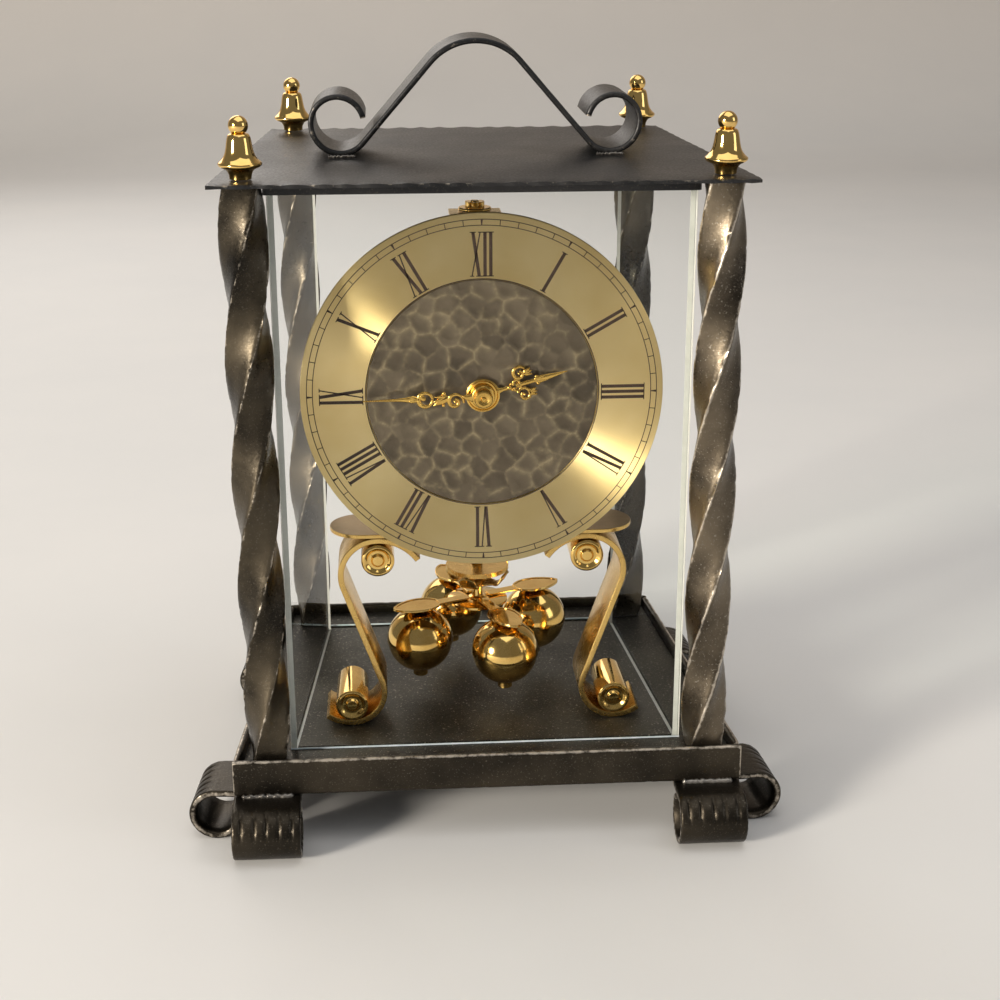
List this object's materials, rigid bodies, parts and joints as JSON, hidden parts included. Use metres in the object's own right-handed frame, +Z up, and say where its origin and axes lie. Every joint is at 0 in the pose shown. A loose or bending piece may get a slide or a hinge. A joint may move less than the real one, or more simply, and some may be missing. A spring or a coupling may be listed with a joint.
{
  "type": "anniversary clock",
  "caption": "Torsion-pendulum mantel clock in a wrought-iron case with twisted columns, scroll feet, glass sides, a carry handle and a round dial with pierced hands.",
  "frame": {"origin": "on the surface that the feet stand on, below the middle of the case", "axes": "+Z up, +X to the right as the dial is read, -Y towards the viewer of the dial"},
  "size_m": [0.2232, 0.186, 0.2852],
  "materials": {
    "wrought_iron": "forged, blackened, worn bright on its edges",
    "polished_brass": "polished",
    "satin_brass": "satin",
    "movement_brass": "satin",
    "gilt": "gilt",
    "hammered_pewter": "hammered, dark",
    "steel": "polished",
    "glass": "clear, polished"
  },
  "bodies": {
    "case": {"base_plate": "wrought_iron", "base_strip_front": "wrought_iron", "base_strip_rear": "wrought_iron", "base_strip_left": "wrought_iron", "base_strip_right": "wrought_iron", "foot_front_left": "wrought_iron", "foot_front_right": "wrought_iron", "foot_rear_left": "wrought_iron", "foot_rear_right": "wrought_iron", "foot_left_front": "wrought_iron", "foot_left_rear": "wrought_iron", "foot_right_front": "wrought_iron", "foot_right_rear": "wrought_iron", "column_front_left": "wrought_iron", "column_front_right": "wrought_iron", "column_rear_left": "wrought_iron", "column_rear_right": "wrought_iron", "top_plate": "wrought_iron", "carry_handle": "wrought_iron", "finial_front_left": "polished_brass", "finial_front_right": "polished_brass", "finial_rear_left": "polished_brass", "finial_rear_right": "polished_brass", "glass_front": "glass", "glass_left": "glass", "glass_right": "glass", "platform": "satin_brass", "support_leg_left": "satin_brass", "support_leg_right": "satin_brass", "leg_nut_lower_left": "polished_brass", "leg_nut_lower_right": "polished_brass", "leg_nut_upper_left": "polished_brass", "leg_nut_upper_right": "polished_brass", "movement_front_plate": "movement_brass", "movement_back_plate": "movement_brass", "dial_plate": "satin_brass", "dial_centre": "hammered_pewter", "suspension_bracket": "movement_brass"},
    "rear_glass": {"glass_rear": "glass"},
    "minute_arbor": {"centre_wheel": "movement_brass", "minute_hand": "gilt"},
    "hour_pipe": {"hour_wheel": "movement_brass", "hour_hand": "gilt"},
    "motion_wheel": {"minute_wheel": "movement_brass"},
    "third_arbor": {"third_wheel": "movement_brass"},
    "second_arbor": {"second_wheel": "movement_brass"},
    "barrel": {"mainspring_barrel": "movement_brass"},
    "fourth_arbor": {"fourth_wheel": "movement_brass"},
    "escape_arbor": {"escape_wheel": "steel"},
    "anchor": {"anchor": "steel"},
    "fork": {"suspension_fork": "movement_brass"},
    "winding": {"winding_arbor": "steel"},
    "beat_nut": {"beat_setting_nut": "movement_brass"},
    "pendulum": {"pendulum_frame": "polished_brass", "suspension_spring": "steel"},
    "regulator": {"regulating_disc": "satin_brass"},
    "ball_right": {"pendulum_ball_right": "polished_brass"},
    "ball_rear": {"pendulum_ball_rear": "polished_brass"},
    "ball_left": {"pendulum_ball_left": "polished_brass"},
    "ball_front": {"pendulum_ball_front": "polished_brass"}
  },
  "joints": [
    {"name": "minute_hand_turn", "type": "hinge", "parent": "case", "child": "minute_arbor", "pos_m": [0, 0, 0.16318], "axis": [0, 1, 0], "continuous": true},
    {"name": "hour_hand_turn", "type": "hinge", "parent": "case", "child": "hour_pipe", "pos_m": [0, 0, 0.16318], "axis": [0, 1, 0], "continuous": true},
    {"name": "motion_wheel_turn", "type": "hinge", "parent": "case", "child": "motion_wheel", "pos_m": [-0.00771, 0, 0.15399], "axis": [0, 1, 0], "continuous": true},
    {"name": "third_wheel_turn", "type": "hinge", "parent": "case", "child": "third_arbor", "pos_m": [0.01961, 0, 0.1671], "axis": [0, 1, 0], "continuous": true},
    {"name": "second_wheel_turn", "type": "hinge", "parent": "case", "child": "second_arbor", "pos_m": [0.0199, 0, 0.1471], "axis": [0, 1, 0], "continuous": true},
    {"name": "barrel_turn", "type": "hinge", "parent": "case", "child": "barrel", "pos_m": [0, 0, 0.13368], "axis": [0, 1, 0], "continuous": true},
    {"name": "fourth_wheel_turn", "type": "hinge", "parent": "case", "child": "fourth_arbor", "pos_m": [-0.00614, 0, 0.17687], "axis": [0, 1, 0], "continuous": true},
    {"name": "escape_wheel_turn", "type": "hinge", "parent": "case", "child": "escape_arbor", "pos_m": [0, 0, 0.18718], "axis": [0, 1, 0], "continuous": true},
    {"name": "winding_turn", "type": "hinge", "parent": "case", "child": "winding", "pos_m": [0, 0, 0.13368], "axis": [0, 1, 0], "continuous": true},
    {"name": "pendulum_turn", "type": "hinge", "parent": "case", "child": "pendulum", "pos_m": [0, 0, 0.03018], "axis": [0, 0, 1], "range_deg": [-135, 135]},
    {"name": "fork_turn", "type": "hinge", "parent": "case", "child": "fork", "pos_m": [0, 0, 0.21588], "axis": [0, 0, 1], "range_deg": [-4, 4]},
    {"name": "anchor_rock", "type": "hinge", "parent": "case", "child": "anchor", "pos_m": [0, 0, 0.19938], "axis": [0, 1, 0], "range_deg": [-5, 5]},
    {"name": "beat_setting", "type": "hinge", "parent": "case", "child": "beat_nut", "pos_m": [0, 0, 0.22168], "axis": [0, 0, 1], "range_deg": [-10, 10]},
    {"name": "regulator_turn", "type": "hinge", "parent": "pendulum", "child": "regulator", "pos_m": [0, 0, 0.07868], "axis": [0, 0, 1], "range_deg": [-60, 60]},
    {"name": "ball_right_slide", "type": "slide", "parent": "pendulum", "child": "ball_right", "axis": [0.9272, 0.3746, 0], "range_m": [-0.001, 0.001]},
    {"name": "ball_rear_slide", "type": "slide", "parent": "pendulum", "child": "ball_rear", "axis": [-0.3746, 0.9272, 0], "range_m": [-0.001, 0.001]},
    {"name": "ball_left_slide", "type": "slide", "parent": "pendulum", "child": "ball_left", "axis": [-0.9272, -0.3746, 0], "range_m": [-0.001, 0.001]},
    {"name": "ball_front_slide", "type": "slide", "parent": "pendulum", "child": "ball_front", "axis": [0.3746, -0.9272, 0], "range_m": [-0.001, 0.001]},
    {"name": "rear_glass_lift", "type": "slide", "parent": "case", "child": "rear_glass", "axis": [0, 0, 1], "range_m": [0, 0.002]}
  ],
  "couplings": [
    {"joint": "hour_hand_turn", "follows": "minute_hand_turn", "ratio": 0.083333},
    {"joint": "motion_wheel_turn", "follows": "minute_hand_turn", "ratio": -0.33333},
    {"joint": "third_wheel_turn", "follows": "minute_hand_turn", "ratio": -0.11111},
    {"joint": "second_wheel_turn", "follows": "minute_hand_turn", "ratio": 0.012346},
    {"joint": "barrel_turn", "follows": "minute_hand_turn", "ratio": -0.0013717},
    {"joint": "fourth_wheel_turn", "follows": "minute_hand_turn", "ratio": -4},
    {"joint": "escape_wheel_turn", "follows": "minute_hand_turn", "ratio": 12},
    {"joint": "fork_turn", "follows": "pendulum_turn", "ratio": 0.0267},
    {"joint": "anchor_rock", "follows": "pendulum_turn", "ratio": 0.0335},
    {"joint": "ball_right_slide", "follows": "regulator_turn", "m_per_rad": 0.00095},
    {"joint": "ball_rear_slide", "follows": "regulator_turn", "m_per_rad": 0.00095},
    {"joint": "ball_left_slide", "follows": "regulator_turn", "m_per_rad": 0.00095},
    {"joint": "ball_front_slide", "follows": "regulator_turn", "m_per_rad": 0.00095}
  ]
}
